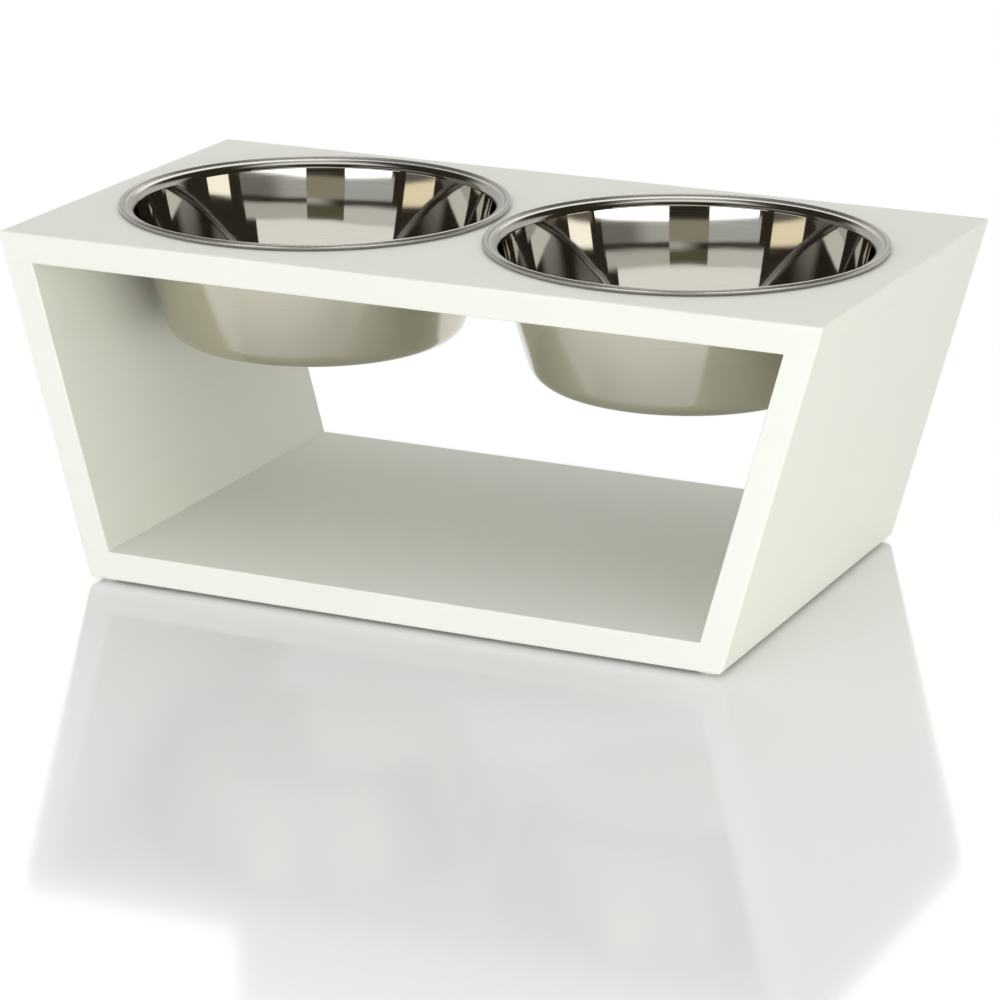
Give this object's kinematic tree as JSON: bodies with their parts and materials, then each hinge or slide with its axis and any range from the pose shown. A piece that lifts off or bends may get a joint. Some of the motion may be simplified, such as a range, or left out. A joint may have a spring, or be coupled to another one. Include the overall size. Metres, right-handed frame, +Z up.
{
  "type": "elevated dog feeder with storage",
  "caption": "Raised pet feeder: an open painted-board frame, wider at the top, carries lift-out round steel bowls over an open storage bay.",
  "frame": {"origin": "on the surface the pads stand on, under the middle of the object", "axes": "+X along the length, to the right seen from the front; +Y from front to back; +Z up"},
  "size_m": [0.446, 0.24, 0.1834],
  "materials": {
    "board_paint": "satin off-white paint over board",
    "bowl_steel": "mirror polished inside, satin outside",
    "foot_pad": "pale soft pad",
    "dowel_wood": "bare beech, hidden in the joints"
  },
  "bodies": {
    "frame": {"top_board": "board_paint", "base_board": "board_paint", "left_side_board": "board_paint", "right_side_board": "board_paint", "front_left_foot": "foot_pad", "front_right_foot": "foot_pad", "back_left_foot": "foot_pad", "back_right_foot": "foot_pad", "top_left_dowels": "dowel_wood", "top_right_dowels": "dowel_wood", "base_left_dowels": "dowel_wood", "base_right_dowels": "dowel_wood"},
    "left_bowl": {"left_bowl": "bowl_steel"},
    "right_bowl": {"right_bowl": "bowl_steel"}
  },
  "joints": [
    {"name": "left_bowl_lift", "type": "slide", "parent": "frame", "child": "left_bowl", "axis": [0, 0, 1], "range_m": [0, 0.1]},
    {"name": "right_bowl_lift", "type": "slide", "parent": "frame", "child": "right_bowl", "axis": [0, 0, 1], "range_m": [0, 0.1]}
  ]
}
